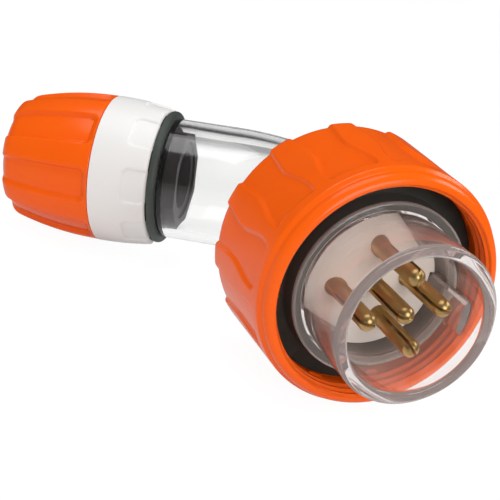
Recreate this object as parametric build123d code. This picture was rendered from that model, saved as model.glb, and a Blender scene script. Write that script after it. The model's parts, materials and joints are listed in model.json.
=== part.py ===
"""Angled weatherproof plug with five round pins, a clear elbow body and a screwed cable gland.

X is the plug axis and the pins point to +X. Z is up. The origin is the centre of the sealing
face, which is the front of the face gasket. The plug lies as it rests on a table: on two lands
of the lock ring and two lands of the gland nut. Sizes are in millimetres and degrees.
"""

from build123d import *
import math
import os

# Clearances
TURN_GAP = 0.4          # radial gap round a piece that turns
FACE_GAP = 0.3          # gap between flat faces that move past each other
SEAT_GAP = 0.15         # radial gap round a piece that is seated in a hole
PAST = 1.0              # how far a cutting tool runs past the face that it cuts

# Shroud and flange, one clear moulding
SHROUD_D = 50.4
SHROUD_WALL = 3.9
SHROUD_LENGTH = 31.3    # sealing face to rim
ROOT_STEP = 0.4         # the shroud's root is thicker by this, under the gasket
RIM_ROUND = 1.2
BEAD_D = 57.0           # bead that keeps the gasket on the shroud
BEAD_FRONT = 8.2
BEAD_THICKNESS = 1.9
BEAD_ROUND = 0.7
LEDGE_D = 39.8          # hole of the ledge that the pin base and the carrier clamp
FLANGE_D = 69.0
HOUSING_FLANGE = 6.0    # thickness
SPIGOT_WALL = 3.0       # ring that centres the housing in the elbow
SPIGOT_LENGTH = 5.0
KEY_WIDTH = 10.0        # rib inside the shroud that sets the way the plug goes in
KEY_HEIGHT = 2.2
KEY_SHORT = 8.0         # the rib stops this far behind the rim
KEY_AZIMUTH = 3.0

# Pin base, an insulating disc in the root of the shroud
BASE_FRONT = 2.0        # ahead of the sealing face
BASE_THICKNESS = 8.5

# Face gasket
GASKET_THICKNESS = 2.5
GASKET_COLLAR_D = 56.2  # under the bead
GASKET_FOOT_D = 58.4    # where the collar stands on the sealing face

# Contact pins, split along their front part
PIN_D = 5.6
PIN_SHANK_D = 6.2       # in the pin base
PIN_CIRCLE_D = 23.8
PIN_AZIMUTH = 17.5      # line 3, about the plug axis
PIN_SPREAD = 78.0       # line 2 and earth stand this far from line 3
PIN_SHORT = 5.6         # the tips stop this far behind the rim
PIN_SLOT = 0.9
PIN_SLOT_LENGTH = 19.0
PIN_SEAM = 55.0         # turn of the turned face's seam from the slot
SLOT_AZIMUTHS = {
    "pin_line_1": -1.0, "pin_line_2": 94.0, "pin_line_3": -8.0, "pin_earth": 132.0, "pin_neutral": 7.0,
}
PIN_SHOULDER_D = 9.6
PIN_SHOULDER = 3.0
BARREL_D = 8.0
BARREL_LENGTH = 12.5    # terminal barrel behind the carrier
WIRE_BORE_D = 4.6
WIRE_BORE_DEPTH = 10.0
TERMINAL_SCREW_D = 3.2
TERMINAL_SCREW_LENGTH = 4.2
TERMINAL_SCREW_BACK = 4.5   # screw axis, ahead of the barrel's end

# Terminal carrier
CARRIER_D = 44.0
CARRIER_THICKNESS = 6.0
CARRIER_SCREW_EDGE = 2.4    # screw axis, inside the hole of the ledge
CARRIER_SCREW_D = 3.0
CARRIER_SCREW_DEPTH = 5.0   # length in the pin base

# Screws that join the front housing to the elbow
BODY_SCREW_COUNT = 4
BODY_SCREW_SHARE = 0.39     # diameter over the width from the elbow's bore to the rim of its flange
BODY_SCREW_DEPTH = 3.6      # length in the flange of the elbow
SCREW_HEAD_SHARE = 1.7      # diameter of a head over that of its shank
SCREW_HEAD_HEIGHT = 2.2
SCREW_SLOT = 0.7
SCREW_SLOT_DEPTH = 1.0

# Lock ring
RING_FRONT = 11.8       # lip, ahead of the sealing face
RING_LENGTH = 44.0
RING_BACK_D = 82.4      # over the lands, before the back edge is rounded
RING_BAND_D = 78.8      # front end of the smooth band
RING_BACK_ROUND = 6.0
LIP_WALL = 3.6          # over the bore
LIP_LENGTH = 4.6
LIP_ROUND = 1.9
LIP_MOUTH = 1.1         # lead-in at the mouth
SHOULDER_LENGTH = 4.6   # inner shoulder that keeps the ring on the body
SKIRT_WALL = 4.3        # wall under the flutes, behind the shoulder
RING_FLUTES = 12
RING_FLUTE_ANGLE = 17.0
RING_FLUTE_DEPTH = 1.3
RING_FLUTE_END = 11.0   # behind the lip
RING_FLUTE_CORNER = 3.0

# Elbow body
ELBOW_FLANGE = 4.5      # thickness
NECK_D = 60.4          # cylinder that the lock ring turns on
NECK_LENGTH = 23.0
BODY_WALL = 2.9
TUBE_D = 45.4
TUBE_WALL = 3.2
CORNER = 71.4           # sealing face to the crossing of the two axes
BEND = 60.0
BEND_RADIUS = 40.0
TUBE_REACH = 45.3       # crossing of the axes to the end of the tube
END_WALL = 2.0
ORING_D = 1.6

# Cable gland, along its own axis
GLAND_SPIGOT_D = 29.0
LOCKNUT_D = 38.0        # over the corners
LOCKNUT_SIDES = 8
LOCKNUT_TURN = 25.5
LOCKNUT_LENGTH = 8.3
SPIGOT_SHORT = 1.5      # the spigot ends inside the locknut
SEAL_THICKNESS = 2.8
SEAL_D = 50.4
SEAL_ROUND = 1.2
COLLAR_LENGTH = 20.7
COLLAR_D = 55.8         # at the nut
COLLAR_CROWN = 128.0    # radius of the crowned side
COLLAR_ROUND = 1.5
COLLAR_PANELS = 8
PANEL_ANGLE = 23.0
PANEL_DEPTH = 0.55
PANEL_LENGTH = 8.6
PANEL_CORNER = 2.2
PANEL_TURN = 4.0        # turn of the panels from the nut's flutes
COLLAR_FLOOR = 4.0      # wall under the grommet
CABLE_PASSAGE_D = 22.0
GLAND_THREAD_D = 44.6
GLAND_THREAD_LENGTH = 13.0
GROMMET_D = 34.0
GROMMET_BORE_D = 18.0
GROMMET_LENGTH = 30.0
GROMMET_CHAMFER = 2.5
WASHER_THICKNESS = 2.0

# Gland nut
NUT_D = 55.6
NUT_LENGTH = 38.6
NUT_BAND = 2.6          # plain band ahead of the flutes
NUT_DOME = 100.0        # radius of the domed side
NUT_END_ROUND = 4.6
NUT_FLUTES = 8
NUT_FLUTE_ANGLE = 27.0
NUT_FLUTE_DEPTH = 2.0
NUT_FLUTE_CORNER = 3.0
NUT_MOUTH_D = 25.0
NUT_MOUTH_CHAMFER = 1.5

# Places along the plug axis
RIM_X = SHROUD_LENGTH
GASKET_BACK_X = -GASKET_THICKNESS
BEAD_BACK_X = BEAD_FRONT - BEAD_THICKNESS
JOINT_X = GASKET_BACK_X - HOUSING_FLANGE
FLANGE_BACK_X = JOINT_X - ELBOW_FLANGE
BASE_BACK_X = BASE_FRONT - BASE_THICKNESS
CARRIER_FRONT_X = BASE_BACK_X - PIN_SHOULDER
CARRIER_BACK_X = CARRIER_FRONT_X - CARRIER_THICKNESS
BARREL_END_X = CARRIER_BACK_X - BARREL_LENGTH
RING_BACK_X = RING_FRONT - RING_LENGTH
SHOULDER_FRONT_X = FLANGE_BACK_X - FACE_GAP
SHOULDER_BACK_X = SHOULDER_FRONT_X - SHOULDER_LENGTH
NECK_END_X = FLANGE_BACK_X - NECK_LENGTH
TANGENT = BEND_RADIUS * math.tan(math.radians(BEND / 2))
BEND_X = TANGENT - CORNER

# Places along the gland axis, from the crossing of the two axes
LOCKNUT_BACK_T = TUBE_REACH - END_WALL
COLLAR_FRONT_T = TUBE_REACH + SEAL_THICKNESS
COLLAR_BACK_T = COLLAR_FRONT_T + COLLAR_LENGTH
POCKET_T = COLLAR_FRONT_T + COLLAR_FLOOR
WASHER_T = POCKET_T + GROMMET_LENGTH
NUT_FRONT_T = COLLAR_BACK_T + FACE_GAP
NUT_SHOULDER_T = WASHER_T + WASHER_THICKNESS + SEAT_GAP
NUT_END_T = NUT_FRONT_T + NUT_LENGTH
FLUTE_FRONT_T = NUT_FRONT_T + NUT_BAND

# Radii and circles that neighbours share
SHROUD_ROOT_R = SHROUD_D / 2 + ROOT_STEP
SHROUD_BORE_R = SHROUD_D / 2 - SHROUD_WALL
FLANGE_R = FLANGE_D / 2
RING_BORE_R = FLANGE_R + TURN_GAP
NECK_R = NECK_D / 2
NECK_BORE_R = NECK_R - BODY_WALL
TUBE_R = TUBE_D / 2
TUBE_BORE_R = TUBE_R - TUBE_WALL
HOUSING_SPIGOT_R = NECK_BORE_R - SEAT_GAP
GLAND_SPIGOT_R = GLAND_SPIGOT_D / 2
GROMMET_POCKET_R = GROMMET_D / 2 + SEAT_GAP
GLAND_THREAD_R = GLAND_THREAD_D / 2
LIP_R = RING_BORE_R + LIP_WALL
CARRIER_SCREW_CIRCLE_D = LEDGE_D - 2 * CARRIER_SCREW_EDGE
BODY_SCREW_CIRCLE_D = NECK_BORE_R + FLANGE_R
BODY_SCREW_D = BODY_SCREW_SHARE * (FLANGE_R - NECK_BORE_R)


def nut_radius(station):
    """Radius over the lands of the gland nut at a place along the gland axis."""
    along = max(station - FLUTE_FRONT_T, 0)
    return NUT_D / 2 - NUT_DOME + math.sqrt(NUT_DOME**2 - along**2)


def resting_droop():
    """Turn of the elbow about the plug axis that sets ring and nut on the same table."""
    taper = (RING_BACK_D - RING_BAND_D) / 2 / (RING_LENGTH - LIP_LENGTH)
    land_r = RING_BACK_D / 2 - taper * RING_BACK_ROUND
    ring_height = land_r * math.cos(math.radians(RING_FLUTE_ANGLE / 2))
    across = math.cos(math.radians(NUT_FLUTE_ANGLE / 2))
    sideways = math.sin(math.radians(BEND))
    angles = []
    for step in range(1, 20):
        station = FLUTE_FRONT_T + (NUT_END_T - FLUTE_FRONT_T) * step / 20
        drop = ring_height - nut_radius(station) * across
        angles.append(math.degrees(math.asin(drop / (station * sideways))))
    return min(angles)


DROOP = resting_droop()
GLAND_AXIS = Vector(-math.cos(math.radians(BEND)), -math.sin(math.radians(BEND)), 0).rotate(Axis.X, DROOP)
GLAND = Plane(origin=(-CORNER, 0, 0), x_dir=(0, 0, -1), z_dir=GLAND_AXIS)


def turned(outline):
    """Solid turned about the plug axis from a closed outline of (x, radius) points."""
    return revolve(make_face(Polyline(*outline, close=True)), Axis.X)


def turned_gland(outline):
    """Solid turned about the gland axis from a closed outline of (radius, t) points."""
    face = Plane.XZ * make_face(Polyline(*outline, close=True))
    return GLAND.location * revolve(face, Axis.Z)


def rod(x_from, x_to, radius, place=(0, 0)):
    """Round rod parallel to the plug axis between two stations."""
    start = Plane(origin=(x_from, place[0], place[1]), z_dir=(math.copysign(1, x_to - x_from), 0, 0))
    return extrude(start * Circle(radius), abs(x_to - x_from))


def polar(diameter, azimuth):
    """Place (y, z) on a circle round the plug axis."""
    angle = math.radians(azimuth)
    return (diameter / 2 * math.cos(angle), diameter / 2 * math.sin(angle))


def carrier_screw_places():
    """Two screws, opposite each other and between pins."""
    return [polar(CARRIER_SCREW_CIRCLE_D, PIN_AZIMUTH + turn) for turn in (45, 225)]


def body_screw_places():
    """Screws of the flanges, midway between the carrier's screws."""
    step = 360 / BODY_SCREW_COUNT
    return [polar(BODY_SCREW_CIRCLE_D, step * (k + 0.5)) for k in range(BODY_SCREW_COUNT)]


def pin_places():
    """Name, place, terminal azimuth and slot azimuth of each pin."""
    turns = {"pin_line_3": 0, "pin_line_2": PIN_SPREAD, "pin_line_1": 180, "pin_earth": -PIN_SPREAD}
    pins = {}
    for name, turn in turns.items():
        azimuth = PIN_AZIMUTH + turn
        pins[name] = (polar(PIN_CIRCLE_D, azimuth), azimuth, SLOT_AZIMUTHS[name])
    between = PIN_AZIMUTH + (PIN_SPREAD + 180) / 2
    pins["pin_neutral"] = ((0, 0), between, SLOT_AZIMUTHS["pin_neutral"])
    return pins


def screw_x(x_head, x_end, shank_d, place, facing):
    """Slotted cheese-head screw parallel to the plug axis. Its head starts at x_head and faces +-1."""
    head_top = x_head + facing * SCREW_HEAD_HEIGHT
    head_r = shank_d * SCREW_HEAD_SHARE / 2
    screw = rod(x_head, head_top, head_r, place) + rod(x_head, x_end, shank_d / 2, place)
    slot = Box(2 * SCREW_SLOT_DEPTH, 2 * head_r + PAST, SCREW_SLOT)
    return screw - Pos(head_top, place[0], place[1]) * slot


def key_bar(gap):
    """Bar that the key rib is part of, wider and taller by a gap on each side."""
    outer_r = SHROUD_BORE_R + SHROUD_WALL / 2
    inner_r = SHROUD_BORE_R - KEY_HEIGHT - gap
    length = RIM_X - KEY_SHORT - BASE_BACK_X
    bar = Box(length, outer_r - inner_r, KEY_WIDTH + 2 * gap)
    return Rot(KEY_AZIMUTH, 0, 0) * (Pos(BASE_BACK_X + length / 2, (outer_r + inner_r) / 2, 0) * bar)


def front_housing():
    """Clear shroud with flange, centring spigot, key rib and the ledge that carries the pin base."""
    spigot_back_x = JOINT_X - SPIGOT_LENGTH
    profile = Polyline(
        (BASE_BACK_X, SHROUD_BORE_R),
        (BASE_BACK_X, LEDGE_D / 2),
        (CARRIER_FRONT_X, LEDGE_D / 2),
        (CARRIER_FRONT_X, HOUSING_SPIGOT_R - SPIGOT_WALL),
        (spigot_back_x, HOUSING_SPIGOT_R - SPIGOT_WALL),
        (spigot_back_x, HOUSING_SPIGOT_R),
        (JOINT_X, HOUSING_SPIGOT_R),
        (JOINT_X, FLANGE_R),
        (GASKET_BACK_X, FLANGE_R),
        (GASKET_BACK_X, SHROUD_ROOT_R),
        (BEAD_BACK_X, SHROUD_ROOT_R),
        (BEAD_BACK_X, SHROUD_D / 2),
        (RIM_X, SHROUD_D / 2),
        (RIM_X, SHROUD_BORE_R),
        close=True,
    )
    face = make_face(profile)
    rim = face.vertices().group_by(Axis.X)[-1]
    housing = revolve(fillet(rim, RIM_ROUND), Axis.X)
    inside_r = SHROUD_BORE_R + SHROUD_WALL / 2
    bead_face = make_face(Polyline(
        (BEAD_BACK_X, inside_r),
        (BEAD_BACK_X, BEAD_D / 2),
        (BEAD_FRONT, BEAD_D / 2),
        (BEAD_FRONT, inside_r),
        close=True,
    ))
    bead_edges = bead_face.vertices().group_by(Axis.Y)[-1]
    housing += revolve(fillet(bead_edges, BEAD_ROUND), Axis.X)
    housing += key_bar(0)
    head_r = BODY_SCREW_D * SCREW_HEAD_SHARE / 2 + SEAT_GAP
    head_seat_x = GASKET_BACK_X - SCREW_HEAD_HEIGHT - SEAT_GAP
    for place in body_screw_places():
        housing -= rod(head_seat_x, GASKET_BACK_X + PAST / 2, head_r, place)
        housing -= rod(JOINT_X - PAST / 2, head_seat_x + PAST / 2, BODY_SCREW_D / 2 + SEAT_GAP, place)
    groove_r = NECK_BORE_R - ORING_D - SEAT_GAP
    groove_x = JOINT_X - SPIGOT_LENGTH / 2
    groove_half = ORING_D / 2 + SEAT_GAP
    housing -= turned([
        (groove_x - groove_half, groove_r),
        (groove_x + groove_half, groove_r),
        (groove_x + groove_half, HOUSING_SPIGOT_R + PAST / 2),
        (groove_x - groove_half, HOUSING_SPIGOT_R + PAST / 2),
    ])
    return housing


def pin_base():
    """Insulating disc round the pins, notched for the key rib and clamped to the ledge by the carrier."""
    base = rod(BASE_BACK_X, BASE_FRONT, SHROUD_BORE_R - SEAT_GAP)
    base -= key_bar(SEAT_GAP)
    for place, azimuth, slot_azimuth in pin_places().values():
        base -= rod(BASE_BACK_X - PAST, BASE_FRONT + PAST, PIN_SHANK_D / 2 + SEAT_GAP, place)
    screw_r = CARRIER_SCREW_D / 2 + SEAT_GAP
    for place in carrier_screw_places():
        base -= rod(BASE_BACK_X - PAST, BASE_BACK_X + CARRIER_SCREW_DEPTH, screw_r, place)
    return base


def face_gasket():
    """Flat ring that seals against the mating socket, with a collar behind the shroud's bead."""
    inner_r = SHROUD_ROOT_R + SEAT_GAP
    return turned([
        (GASKET_BACK_X, inner_r),
        (GASKET_BACK_X, FLANGE_R),
        (0, FLANGE_R),
        (0, GASKET_FOOT_D / 2),
        (BEAD_BACK_X, GASKET_COLLAR_D / 2),
        (BEAD_BACK_X, inner_r),
    ])


def body_seal():
    """O-ring in the spigot's groove."""
    ring_r = NECK_BORE_R - ORING_D / 2 - SEAT_GAP / 2
    centre = Plane(origin=(JOINT_X - SPIGOT_LENGTH / 2, 0, 0), z_dir=(1, 0, 0))
    return centre.location * Torus(ring_r, ORING_D / 2)


def contact_pin(place, azimuth, slot_azimuth):
    """Split pin with a domed tip, a shoulder and a terminal barrel."""
    radius = PIN_D / 2
    dome_x = RIM_X - PIN_SHORT - radius
    profile = make_face(
        Polyline(
            (dome_x, radius),
            (BASE_FRONT, radius),
            (BASE_FRONT, PIN_SHANK_D / 2),
            (BASE_BACK_X, PIN_SHANK_D / 2),
            (BASE_BACK_X, PIN_SHOULDER_D / 2),
            (CARRIER_FRONT_X, PIN_SHOULDER_D / 2),
            (CARRIER_FRONT_X, BARREL_D / 2),
            (BARREL_END_X, BARREL_D / 2),
            (BARREL_END_X, WIRE_BORE_D / 2),
            (BARREL_END_X + WIRE_BORE_DEPTH, WIRE_BORE_D / 2),
            (BARREL_END_X + WIRE_BORE_DEPTH, 0),
            (dome_x + radius, 0),
        )
        + RadiusArc((dome_x + radius, 0), (dome_x, radius), -radius)
    )
    pin = Rot(slot_azimuth + PIN_SEAM, 0, 0) * revolve(profile, Axis.X)
    slot = Box(PIN_SLOT_LENGTH + PAST, PIN_D + PAST, PIN_SLOT)
    slot = Pos(dome_x + radius + PAST / 2 - PIN_SLOT_LENGTH / 2, 0, 0) * slot
    pin -= Rot(slot_azimuth, 0, 0) * slot
    screw_hole = Cylinder(TERMINAL_SCREW_D / 2 + SEAT_GAP, BARREL_D)
    screw_hole = Pos(BARREL_END_X + TERMINAL_SCREW_BACK, BARREL_D / 2, 0) * Rot(90, 0, 0) * screw_hole
    pin -= Rot(azimuth, 0, 0) * screw_hole
    return Pos(0, place[0], place[1]) * pin


def terminal_screw(place, azimuth):
    """Headless clamping screw, driven into the terminal barrel from outside."""
    inner_y = WIRE_BORE_D / 2 - SEAT_GAP
    screw = Cylinder(TERMINAL_SCREW_D / 2, TERMINAL_SCREW_LENGTH)
    top = Pos(0, 0, TERMINAL_SCREW_LENGTH / 2)
    screw -= top * Box(TERMINAL_SCREW_D + PAST, SCREW_SLOT, 2 * SCREW_SLOT_DEPTH)
    centre_y = inner_y + TERMINAL_SCREW_LENGTH / 2
    screw = Pos(BARREL_END_X + TERMINAL_SCREW_BACK, centre_y, 0) * Rot(-90, 0, 0) * screw
    return Pos(0, place[0], place[1]) * Rot(azimuth, 0, 0) * screw


def terminal_carrier():
    """Insulating plate that holds the pins by their shoulders."""
    plate = rod(CARRIER_FRONT_X, CARRIER_BACK_X, CARRIER_D / 2)
    for place, azimuth, slot_azimuth in pin_places().values():
        plate -= rod(CARRIER_FRONT_X + PAST, CARRIER_BACK_X - PAST, BARREL_D / 2 + SEAT_GAP, place)
    for place in carrier_screw_places():
        plate -= rod(CARRIER_FRONT_X + PAST, CARRIER_BACK_X - PAST, CARRIER_SCREW_D / 2 + SEAT_GAP, place)
    return plate


def carrier_screws():
    """Screws that clamp the ledge between the carrier and the pin base."""
    end_x = BASE_BACK_X + CARRIER_SCREW_DEPTH - SEAT_GAP
    return [screw_x(CARRIER_BACK_X, end_x, CARRIER_SCREW_D, place, -1) for place in carrier_screw_places()]


def body_screws():
    """Screws that join the two flanges, with their heads sunk under the gasket."""
    head_x = GASKET_BACK_X - SCREW_HEAD_HEIGHT - SEAT_GAP
    end_x = JOINT_X - BODY_SCREW_DEPTH
    return [screw_x(head_x, end_x, BODY_SCREW_D, place, 1) for place in body_screw_places()]


def lock_ring_outer(sink):
    """Face under the lock ring's outside, moved inwards by a depth, before the ring is bored."""
    inside_r = RING_BORE_R - RING_BACK_ROUND
    band_x = RING_FRONT - LIP_LENGTH
    face = make_face(Polyline(
        (RING_BACK_X, inside_r),
        (RING_BACK_X, RING_BACK_D / 2 - sink),
        (band_x, RING_BAND_D / 2 - sink),
        (band_x, inside_r),
        close=True,
    ))
    corner = face.vertices().sort_by(Axis.Y)[-1]
    return fillet(corner, RING_BACK_ROUND)


def lock_ring():
    """Captive ring: fluted outside, beaded lip, bored for its thread, with a keeper shoulder."""
    flute_x = RING_FRONT - RING_FLUTE_END
    tool_face = make_face(Polyline(
        (RING_BACK_X - PAST, RING_BORE_R),
        (RING_BACK_X - PAST, RING_BACK_D / 2 + PAST),
        (flute_x, RING_BACK_D / 2 + PAST),
        (flute_x, RING_BORE_R),
        close=True,
    ))
    tool = Rot(-RING_FLUTE_ANGLE / 2, 0, 0) * revolve(tool_face, Axis.X, RING_FLUTE_ANGLE)
    front_face = tool.faces().sort_by(Axis.X)[-1]
    corner_edges = front_face.edges().filter_by(GeomType.LINE)
    tool = fillet(corner_edges, RING_FLUTE_CORNER)

    ring = revolve(lock_ring_outer(0), Axis.X)
    for k in range(RING_FLUTES):
        ring -= Rot(360 / RING_FLUTES * k, 0, 0) * tool
    ring += revolve(lock_ring_outer(RING_FLUTE_DEPTH), Axis.X)
    ring -= rod(RING_BACK_X - PAST, RING_FRONT, RING_BORE_R)

    lip_face = make_face(Polyline(
        (RING_FRONT - LIP_LENGTH - PAST, RING_BORE_R),
        (RING_FRONT - LIP_LENGTH - PAST, LIP_R),
        (RING_FRONT, LIP_R),
        (RING_FRONT, RING_BORE_R + LIP_MOUTH),
        (RING_FRONT - LIP_MOUTH, RING_BORE_R),
        close=True,
    ))
    bead = lip_face.vertices().group_by(Axis.X)[-1].sort_by(Axis.Y)[-1]
    ring += revolve(fillet(bead, LIP_ROUND), Axis.X)

    shoulder_r = NECK_R + TURN_GAP
    ring += turned([
        (SHOULDER_FRONT_X, shoulder_r),
        (SHOULDER_FRONT_X, RING_BORE_R + PAST),
        (SHOULDER_BACK_X, RING_BORE_R + PAST),
        (SHOULDER_BACK_X, shoulder_r),
    ])
    skirt_r = RING_BACK_D / 2 - RING_FLUTE_DEPTH - SKIRT_WALL
    ring -= turned([
        (SHOULDER_BACK_X, RING_BORE_R - PAST),
        (SHOULDER_BACK_X, skirt_r - PAST),
        (SHOULDER_BACK_X - PAST, skirt_r),
        (RING_BACK_X - PAST, skirt_r),
        (RING_BACK_X - PAST, RING_BORE_R - PAST),
    ])
    return ring


def elbow_form(front, neck_r, tube_r, tube_end):
    """Bent round form about the two axes: a front outline of (x, radius), neck, cone, bend and tube."""
    front_x = front[0][0]
    neck = Polyline((front_x, 0), *front, (NECK_END_X, neck_r))
    cone = Spline((NECK_END_X, neck_r), (BEND_X, tube_r), tangents=[(-1, 0), (-1, 0)])
    closing = Polyline((BEND_X, tube_r), (BEND_X, 0), (front_x, 0))
    form = revolve(make_face(neck + cone + closing), Axis.X)
    bend_start = Plane(origin=(BEND_X, 0, 0), z_dir=(-1, 0, 0)) * Circle(tube_r)
    bend_axis = Axis((BEND_X, -BEND_RADIUS, 0), (0, 0, 1))
    form += revolve(bend_start, bend_axis, BEND)
    along = Vector(-1, 0, 0).rotate(Axis.Z, BEND)
    tube_start = Plane(origin=Vector(-CORNER, 0, 0) + along * TANGENT, z_dir=along)
    form += extrude(tube_start * Circle(tube_r), tube_end - TANGENT)
    return Rot(DROOP, 0, 0) * form


def elbow_body():
    """Clear elbow: flanged neck, sixty-degree bend and a tube with a bored end wall."""
    flange = [(JOINT_X, FLANGE_R), (FLANGE_BACK_X, FLANGE_R), (FLANGE_BACK_X, NECK_R)]
    body = elbow_form(flange, NECK_R, TUBE_R, TUBE_REACH)
    body -= elbow_form([(JOINT_X + PAST, NECK_BORE_R)], NECK_BORE_R, TUBE_BORE_R, LOCKNUT_BACK_T)
    hole = GLAND.offset(LOCKNUT_BACK_T - PAST) * Circle(GLAND_SPIGOT_R + SEAT_GAP)
    body -= extrude(hole, END_WALL + 2 * PAST)
    screw_end_x = JOINT_X - BODY_SCREW_DEPTH - SEAT_GAP
    for place in body_screw_places():
        body -= rod(JOINT_X + PAST, screw_end_x, BODY_SCREW_D / 2 + SEAT_GAP, place)
    return body


def gland_locknut():
    """Eight-sided nut that pulls the gland against the tube's end wall."""
    sides = RegularPolygon(LOCKNUT_D / 2, LOCKNUT_SIDES, rotation=LOCKNUT_TURN)
    face = sides - Circle(GLAND_SPIGOT_R + SEAT_GAP)
    return extrude(GLAND.offset(LOCKNUT_BACK_T - LOCKNUT_LENGTH) * face, LOCKNUT_LENGTH)


def collar_seal():
    """Flat rubber ring between the tube's end and the collar."""
    face = make_face(Polyline(
        (GLAND_SPIGOT_R + SEAT_GAP, TUBE_REACH),
        (SEAL_D / 2, TUBE_REACH),
        (SEAL_D / 2, COLLAR_FRONT_T),
        (GLAND_SPIGOT_R + SEAT_GAP, COLLAR_FRONT_T),
        close=True,
    ))
    face = fillet(face.vertices().group_by(Axis.X)[-1], SEAL_ROUND)
    return GLAND.location * revolve(Plane.XZ * face, Axis.Z)


def crowned(radius, crown, front_t, back_t, inner_r, flat_t, rounded_t, rounding):
    """Face of a crowned ring (radius, t): flat_t is where the side is parallel to the axis."""
    def side(station):
        return radius - crown + math.sqrt(crown**2 - (station - flat_t)**2)

    middle = (front_t + back_t) / 2
    arc = ThreePointArc((side(front_t), front_t), (side(middle), middle), (side(back_t), back_t))
    rest = Polyline((side(back_t), back_t), (inner_r, back_t), (inner_r, front_t), (side(front_t), front_t))
    face = make_face(arc + rest)
    corner = face.vertices().sort_by_distance((side(rounded_t), rounded_t, 0))[0]
    return fillet(corner, rounding)


def sector(from_t, to_t, outer_r, inner_r, angle):
    """Part of a ring about Z between two stations, centred on an angle."""
    face = Plane.XZ * make_face(Polyline(
        (inner_r, from_t), (outer_r, from_t), (outer_r, to_t), (inner_r, to_t), close=True,
    ))
    return Rot(0, 0, -angle / 2) * revolve(face, Axis.Z, angle)


def flute_tool(from_t, to_t, outer_r, inner_r, angle, corner, closed_at_front):
    """Sector tool along the gland axis with its closed end rounded at both corners."""
    tool = sector(from_t, to_t, outer_r, inner_r, angle)
    ends = tool.faces().sort_by(Axis.Z)
    closed = ends[0] if closed_at_front else ends[-1]
    return fillet(closed.edges().filter_by(GeomType.LINE), corner)


def fluted(outer_face, floor_face, tool, count, turn):
    """Turned ring with sunk flutes whose floor follows the outside at a constant depth."""
    ring = revolve(Plane.XZ * outer_face, Axis.Z)
    for k in range(count):
        ring -= Rot(0, 0, turn + 360 / count * k) * tool
    return ring + revolve(Plane.XZ * floor_face, Axis.Z)


def gland_collar():
    """White collar: crowned grip with sunk panels, a spigot each way and a grommet pocket."""
    inner_r = GROMMET_POCKET_R

    def grip(sink):
        return crowned(
            COLLAR_D / 2 - sink, COLLAR_CROWN, COLLAR_FRONT_T, COLLAR_BACK_T,
            inner_r, COLLAR_BACK_T, COLLAR_FRONT_T, COLLAR_ROUND,
        )

    tool = flute_tool(
        COLLAR_FRONT_T - PAST, COLLAR_FRONT_T + PANEL_LENGTH, COLLAR_D / 2 + PAST, inner_r - PAST,
        PANEL_ANGLE, PANEL_CORNER, False,
    )
    collar = GLAND.location * fluted(grip(0), grip(PANEL_DEPTH), tool, COLLAR_PANELS, PANEL_TURN)
    passage_r = CABLE_PASSAGE_D / 2
    spigot_t = LOCKNUT_BACK_T - LOCKNUT_LENGTH + SPIGOT_SHORT
    collar += turned_gland([
        (passage_r, spigot_t),
        (GLAND_SPIGOT_R, spigot_t),
        (GLAND_SPIGOT_R, COLLAR_FRONT_T),
        (inner_r + PAST, COLLAR_FRONT_T),
        (inner_r + PAST, POCKET_T),
        (passage_r, POCKET_T),
    ])
    collar += turned_gland([
        (inner_r, COLLAR_BACK_T - PAST),
        (GLAND_THREAD_R, COLLAR_BACK_T - PAST),
        (GLAND_THREAD_R, COLLAR_BACK_T + GLAND_THREAD_LENGTH),
        (inner_r, COLLAR_BACK_T + GLAND_THREAD_LENGTH),
    ])
    return collar


def cable_grommet():
    """Rubber sleeve for the cable, with its rear edge cut back for the washer."""
    outer_r = GROMMET_D / 2
    bore_r = GROMMET_BORE_D / 2
    return turned_gland([
        (bore_r, POCKET_T),
        (outer_r, POCKET_T),
        (outer_r, WASHER_T - GROMMET_CHAMFER),
        (outer_r - GROMMET_CHAMFER, WASHER_T),
        (bore_r, WASHER_T),
    ])


def slip_washer():
    """Thin washer that keeps the turning nut off the rubber."""
    inner_r = CABLE_PASSAGE_D / 2
    outer_r = GROMMET_D / 2
    back_t = WASHER_T + WASHER_THICKNESS
    return turned_gland([(inner_r, WASHER_T), (outer_r, WASHER_T), (outer_r, back_t), (inner_r, back_t)])


def gland_nut():
    """Domed nut with eight flutes, open at the rear for the cable."""
    bore_r = GLAND_THREAD_R + TURN_GAP
    mouth_r = NUT_MOUTH_D / 2

    def dome(sink):
        return crowned(
            NUT_D / 2 - sink, NUT_DOME, FLUTE_FRONT_T, NUT_END_T,
            mouth_r, FLUTE_FRONT_T, NUT_END_T, NUT_END_ROUND,
        )

    middle_t = (FLUTE_FRONT_T + NUT_END_T) / 2
    tool_r = NUT_D / 2 + PAST
    floor_end_r = nut_radius(NUT_END_T) - NUT_FLUTE_DEPTH - NUT_END_ROUND
    tool = flute_tool(
        FLUTE_FRONT_T, middle_t + PAST, tool_r, nut_radius(middle_t) - NUT_FLUTE_DEPTH - PAST,
        NUT_FLUTE_ANGLE, NUT_FLUTE_CORNER, True,
    )
    tool += sector(middle_t, NUT_END_T + PAST, tool_r, floor_end_r, NUT_FLUTE_ANGLE)
    nut = GLAND.location * fluted(dome(0), dome(NUT_FLUTE_DEPTH), tool, NUT_FLUTES, 0)
    nut += turned_gland([
        (mouth_r, NUT_FRONT_T),
        (NUT_D / 2, NUT_FRONT_T),
        (NUT_D / 2, FLUTE_FRONT_T),
        (mouth_r, FLUTE_FRONT_T),
    ])
    nut -= turned_gland([
        (0, NUT_FRONT_T - PAST),
        (bore_r, NUT_FRONT_T - PAST),
        (bore_r, NUT_SHOULDER_T),
        (0, NUT_SHOULDER_T),
    ])
    nut -= turned_gland([
        (0, NUT_END_T - NUT_MOUTH_CHAMFER),
        (mouth_r, NUT_END_T - NUT_MOUTH_CHAMFER),
        (mouth_r + NUT_MOUTH_CHAMFER + PAST, NUT_END_T + PAST),
        (0, NUT_END_T + PAST),
    ])
    return nut


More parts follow.
